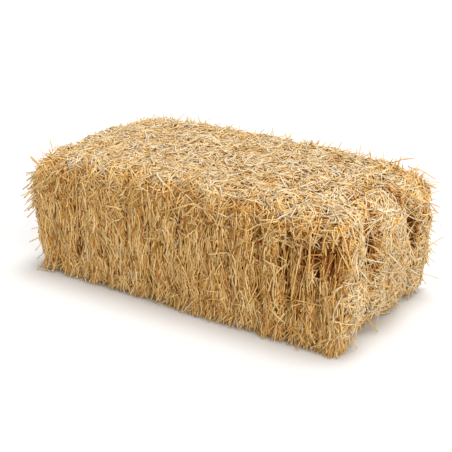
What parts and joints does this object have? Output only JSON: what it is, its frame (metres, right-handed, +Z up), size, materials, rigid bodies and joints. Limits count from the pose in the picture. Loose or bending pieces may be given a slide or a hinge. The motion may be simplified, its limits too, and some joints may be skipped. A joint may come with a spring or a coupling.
{
  "type": "straw bale",
  "caption": "Square-cornered straw bale: a row of pressed straw flakes held together by loops of twine sunk into its ends and faces, lying on a wide side.",
  "frame": {"origin": "centre of the bale's footprint, on the floor", "axes": "+X along the bale's length, the way the flakes are stacked; +Z up, through the bale's least size; +Y across its width"},
  "size_m": [0.9336, 0.4606, 0.3429],
  "materials": {
    "straw": "dry matt straw",
    "twine": "twisted sisal"
  },
  "bodies": {
    "root": {"flake_01": "straw", "flake_02": "straw", "flake_03": "straw", "flake_04": "straw", "flake_05": "straw", "flake_06": "straw", "flake_07": "straw", "flake_08": "straw", "flake_09": "straw", "flake_10": "straw", "flake_11": "straw", "flake_12": "straw", "twine_front": "twine", "twine_back": "twine"}
  },
  "joints": []
}
